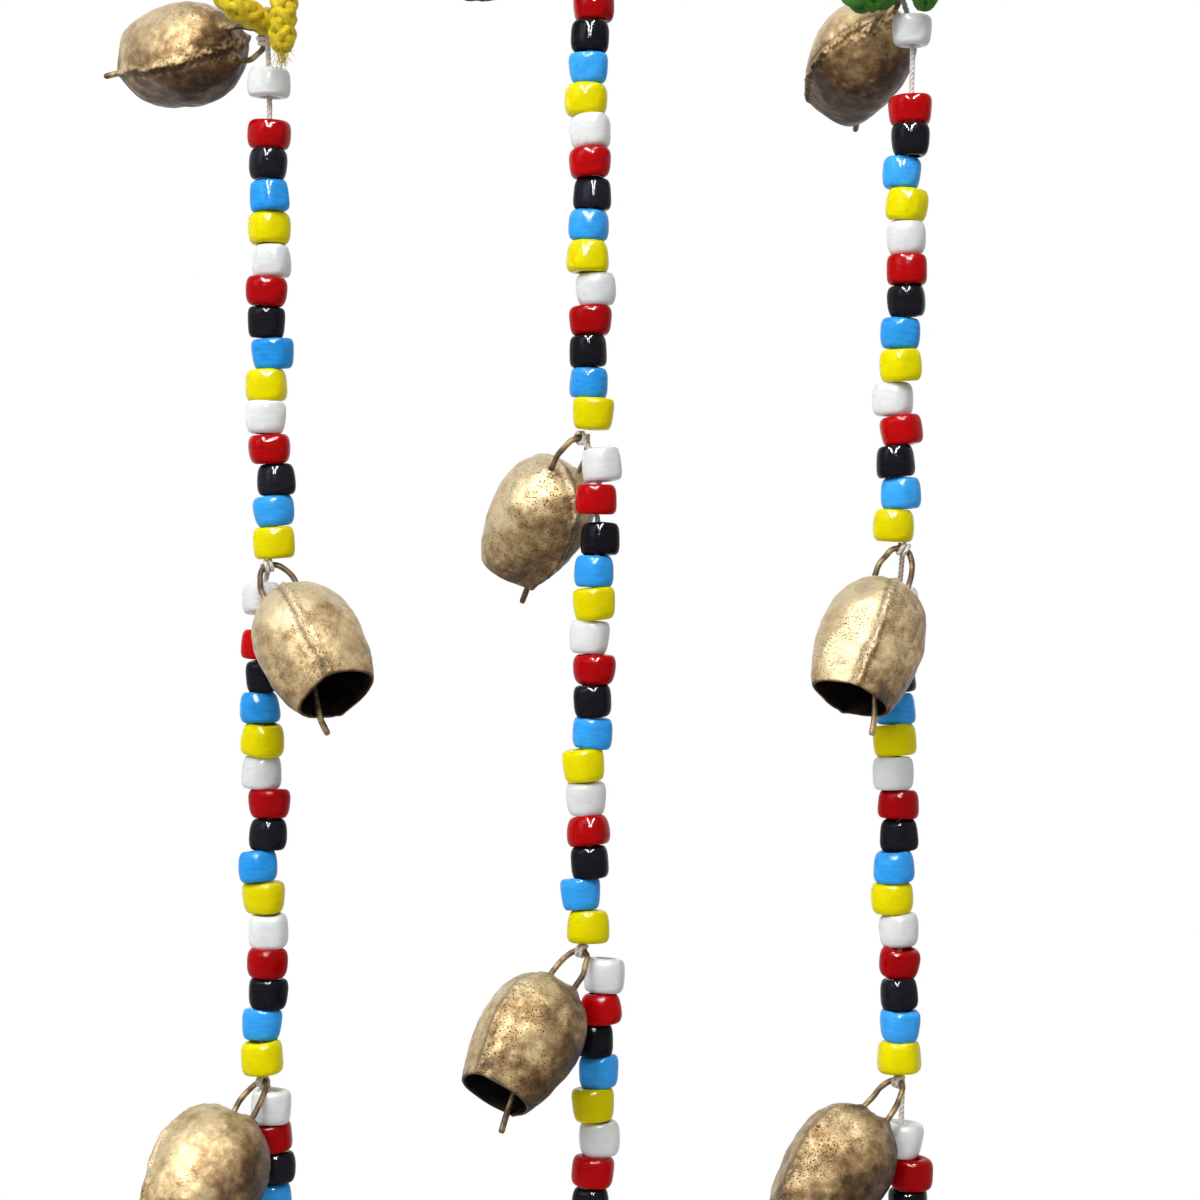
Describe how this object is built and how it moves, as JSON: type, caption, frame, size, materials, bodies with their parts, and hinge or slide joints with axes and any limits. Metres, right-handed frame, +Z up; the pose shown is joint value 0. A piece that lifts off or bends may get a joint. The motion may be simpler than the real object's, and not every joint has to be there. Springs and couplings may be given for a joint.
{
  "type": "string of bells",
  "caption": "Set of hanging strings of glass beads with wire-hung brass bells tied between the beads and a rope loop at each top; the bells swing on their ties and rod clappers ring them.",
  "frame": {"origin": "the point where a hook carries the centre string's rope loop", "axes": "+Z up along the strings, +X to the right of someone facing the set, -Y towards them"},
  "size_m": [0.1936, 0.0679, 0.3448],
  "materials": {
    "bell_brass": "hammered, aged and patinated",
    "iron_wire": "dark brass-washed wire",
    "bead_white": "opaque glossy glass",
    "bead_red": "opaque glossy glass",
    "bead_black": "opaque glossy glass",
    "bead_blue": "opaque glossy glass",
    "bead_yellow": "opaque glossy glass",
    "cotton_thread": "twisted cotton",
    "rope_yellow": "shiny twisted rope",
    "rope_orange": "shiny twisted rope",
    "rope_green": "shiny twisted rope"
  },
  "bodies": {
    "rope_loops": {"left_rope_loop": "rope_yellow", "centre_rope_loop": "rope_orange", "right_rope_loop": "rope_green"},
    "left_top_strand": {"left_top_thread": "cotton_thread", "left_top_beads": "bead_red"},
    "left_top_bell": {"left_top_bell_shell": "bell_brass", "left_top_bell_hanger": "iron_wire"},
    "left_top_clapper": {"left_top_bell_clapper": "iron_wire"},
    "left_top_loose_bead": {"left_top_loose_bead": "bead_white"},
    "left_mid_strand": {"left_mid_thread": "cotton_thread", "left_mid_beads": "bead_blue"},
    "left_mid_bell": {"left_mid_bell_shell": "bell_brass", "left_mid_bell_hanger": "iron_wire"},
    "left_mid_clapper": {"left_mid_bell_clapper": "iron_wire"},
    "left_mid_loose_bead": {"left_mid_loose_bead": "bead_white"},
    "left_low_strand": {"left_low_thread": "cotton_thread", "left_low_beads": "bead_yellow"},
    "left_low_bell": {"left_low_bell_shell": "bell_brass", "left_low_bell_hanger": "iron_wire"},
    "left_low_clapper": {"left_low_bell_clapper": "iron_wire"},
    "centre_top_strand": {"centre_top_thread": "cotton_thread", "centre_top_beads": "bead_red"},
    "centre_top_bell": {"centre_top_bell_shell": "bell_brass", "centre_top_bell_hanger": "iron_wire"},
    "centre_top_clapper": {"centre_top_bell_clapper": "iron_wire"},
    "centre_mid_strand": {"centre_mid_thread": "cotton_thread", "centre_mid_beads": "bead_blue"},
    "centre_mid_bell": {"centre_mid_bell_shell": "bell_brass", "centre_mid_bell_hanger": "iron_wire"},
    "centre_mid_clapper": {"centre_mid_bell_clapper": "iron_wire"},
    "centre_low_strand": {"centre_low_thread": "cotton_thread", "centre_low_beads": "bead_yellow"},
    "centre_low_bell": {"centre_low_bell_shell": "bell_brass", "centre_low_bell_hanger": "iron_wire"},
    "centre_low_clapper": {"centre_low_bell_clapper": "iron_wire"},
    "right_top_strand": {"right_top_thread": "cotton_thread", "right_top_beads": "bead_red"},
    "right_top_bell": {"right_top_bell_shell": "bell_brass", "right_top_bell_hanger": "iron_wire"},
    "right_top_clapper": {"right_top_bell_clapper": "iron_wire"},
    "right_top_loose_bead": {"right_top_loose_bead": "bead_white"},
    "right_mid_strand": {"right_mid_thread": "cotton_thread", "right_mid_beads": "bead_blue"},
    "right_mid_bell": {"right_mid_bell_shell": "bell_brass", "right_mid_bell_hanger": "iron_wire"},
    "right_mid_clapper": {"right_mid_bell_clapper": "iron_wire"},
    "right_mid_loose_bead": {"right_mid_loose_bead": "bead_white"},
    "right_low_strand": {"right_low_thread": "cotton_thread", "right_low_beads": "bead_black"},
    "right_low_bell": {"right_low_bell_shell": "bell_brass", "right_low_bell_hanger": "iron_wire"},
    "right_low_clapper": {"right_low_bell_clapper": "iron_wire"}
  },
  "joints": [
    {"name": "left_top_swing", "type": "hinge", "parent": "rope_loops", "child": "left_top_strand", "pos_m": [-0.07254, 0.00089, -0.0517], "axis": [1, 0, 0], "range_deg": [-25, 8]},
    {"name": "left_top_bell_swing", "type": "hinge", "parent": "left_top_strand", "child": "left_top_bell", "pos_m": [-0.07254, 0.00089, -0.0517], "axis": [0.2602, 0.333, -0.9063], "range_deg": [-39, 3]},
    {"name": "left_top_clapper_swing", "type": "hinge", "parent": "left_top_bell", "child": "left_top_clapper", "pos_m": [-0.08421, 0.00915, -0.05202], "axis": [0.2602, 0.333, -0.9063], "range_deg": [0, 31]},
    {"name": "left_top_loose_bead_slide", "type": "slide", "parent": "left_top_strand", "child": "left_top_loose_bead", "axis": [0, 0, -1], "range_m": [0, 0.0043]},
    {"name": "left_mid_swing", "type": "hinge", "parent": "left_top_strand", "child": "left_mid_strand", "pos_m": [-0.07107, -0.00141, -0.17065], "axis": [1, 0, 0], "range_deg": [-25, 25]},
    {"name": "left_mid_bell_swing", "type": "hinge", "parent": "left_mid_strand", "child": "left_mid_bell", "pos_m": [-0.07107, -0.00141, -0.17065], "axis": [-0.8901, -0.2055, -0.4067], "range_deg": [0, 48]},
    {"name": "left_mid_clapper_swing", "type": "hinge", "parent": "left_mid_bell", "child": "left_mid_clapper", "pos_m": [-0.06462, -0.00892, -0.18097], "axis": [-0.8901, -0.2055, -0.4067], "range_deg": [0, 21]},
    {"name": "left_mid_loose_bead_slide", "type": "slide", "parent": "left_mid_strand", "child": "left_mid_loose_bead", "axis": [-0.011, 0.0476, -0.9988], "range_m": [0, 0.0031]},
    {"name": "left_low_swing", "type": "hinge", "parent": "left_mid_strand", "child": "left_low_strand", "pos_m": [-0.07243, -0.00103, -0.2863], "axis": [1, 0, 0], "range_deg": [-25, 25]},
    {"name": "left_low_bell_swing", "type": "hinge", "parent": "left_low_strand", "child": "left_low_bell", "pos_m": [-0.07243, -0.00103, -0.2863], "axis": [-0.7032, 0.7032, -0.1045], "range_deg": [0, 48]},
    {"name": "left_low_clapper_swing", "type": "hinge", "parent": "left_low_bell", "child": "left_low_clapper", "pos_m": [-0.0785, -0.00865, -0.29676], "axis": [-0.7032, 0.7032, -0.1045], "range_deg": [0, 31]},
    {"name": "centre_top_swing", "type": "hinge", "parent": "rope_loops", "child": "centre_top_strand", "pos_m": [-0.00145, 0, -0.0301], "axis": [1, 0, 0], "range_deg": [-25, 25]},
    {"name": "centre_top_bell_swing", "type": "hinge", "parent": "centre_top_strand", "child": "centre_top_bell", "pos_m": [-0.00145, 0, -0.0301], "axis": [0, 1, 0], "range_deg": [-40, 3]},
    {"name": "centre_top_clapper_swing", "type": "hinge", "parent": "centre_top_bell", "child": "centre_top_clapper", "pos_m": [-0.01575, 0, -0.0301], "axis": [0, 1, 0], "range_deg": [0, 31]},
    {"name": "centre_mid_swing", "type": "hinge", "parent": "centre_top_strand", "child": "centre_mid_strand", "pos_m": [-0.00085, 0.00117, -0.14175], "axis": [1, 0, 0], "range_deg": [-25, 25]},
    {"name": "centre_mid_bell_swing", "type": "hinge", "parent": "centre_mid_strand", "child": "centre_mid_bell", "pos_m": [-0.00085, 0.00117, -0.14175], "axis": [0.809, 0.5878, 0], "range_deg": [0, 48]},
    {"name": "centre_mid_clapper_swing", "type": "hinge", "parent": "centre_mid_bell", "child": "centre_mid_clapper", "pos_m": [-0.00665, 0.00916, -0.1521], "axis": [0.809, 0.5878, 0], "range_deg": [0, 31]},
    {"name": "centre_low_swing", "type": "hinge", "parent": "centre_mid_strand", "child": "centre_low_strand", "pos_m": [-0.00089, -0.00114, -0.25705], "axis": [1, 0, 0], "range_deg": [-25, 25]},
    {"name": "centre_low_bell_swing", "type": "hinge", "parent": "centre_low_strand", "child": "centre_low_bell", "pos_m": [-0.00089, -0.00114, -0.25705], "axis": [-0.7837, 0.6123, 0.1045], "range_deg": [0, 48]},
    {"name": "centre_low_clapper_swing", "type": "hinge", "parent": "centre_low_bell", "child": "centre_low_clapper", "pos_m": [-0.00772, -0.0081, -0.26751], "axis": [-0.7837, 0.6123, 0.1045], "range_deg": [0, 31]},
    {"name": "right_top_swing", "type": "hinge", "parent": "rope_loops", "child": "right_top_strand", "pos_m": [0.07057, 0.00119, -0.0416], "axis": [1, 0, 0], "range_deg": [-20, 15]},
    {"name": "right_top_bell_swing", "type": "hinge", "parent": "right_top_strand", "child": "right_top_bell", "pos_m": [0.07057, 0.00119, -0.0416], "axis": [0.671, 0.4698, 0.5736], "range_deg": [-16, 3]},
    {"name": "right_top_clapper_swing", "type": "hinge", "parent": "right_top_bell", "child": "right_top_clapper", "pos_m": [0.06682, 0.01368, -0.04746], "axis": [0.671, 0.4698, 0.5736], "range_deg": [0, 31]},
    {"name": "right_top_loose_bead_slide", "type": "slide", "parent": "right_top_strand", "child": "right_top_loose_bead", "axis": [0, 0, -1], "range_m": [0, 0.0105]},
    {"name": "right_mid_swing", "type": "hinge", "parent": "right_top_strand", "child": "right_mid_strand", "pos_m": [0.07132, -0.00145, -0.1669], "axis": [1, 0, 0], "range_deg": [-25, 25]},
    {"name": "right_mid_bell_swing", "type": "hinge", "parent": "right_mid_strand", "child": "right_mid_bell", "pos_m": [0.07132, -0.00145, -0.1669], "axis": [-0.9323, 0.0489, 0.3584], "range_deg": [0, 48]},
    {"name": "right_mid_clapper_swing", "type": "hinge", "parent": "right_mid_bell", "child": "right_mid_clapper", "pos_m": [0.06637, -0.00726, -0.17899], "axis": [-0.9323, 0.0489, 0.3584], "range_deg": [0, 14]},
    {"name": "right_mid_loose_bead_slide", "type": "slide", "parent": "right_mid_strand", "child": "right_mid_loose_bead", "axis": [0.0121, 0.2313, -0.9728], "range_m": [0, 0.0031]},
    {"name": "right_low_swing", "type": "hinge", "parent": "right_mid_strand", "child": "right_low_strand", "pos_m": [0.07026, -0.00089, -0.2864], "axis": [1, 0, 0], "range_deg": [-25, 25]},
    {"name": "right_low_bell_swing", "type": "hinge", "parent": "right_low_strand", "child": "right_low_bell", "pos_m": [0.07026, -0.00089, -0.2864], "axis": [-0.6081, 0.7783, 0.1564], "range_deg": [0, 48]},
    {"name": "right_low_clapper_swing", "type": "hinge", "parent": "right_low_bell", "child": "right_low_clapper", "pos_m": [0.06173, -0.00544, -0.29694], "axis": [-0.6081, 0.7783, 0.1564], "range_deg": [0, 31]}
  ]
}
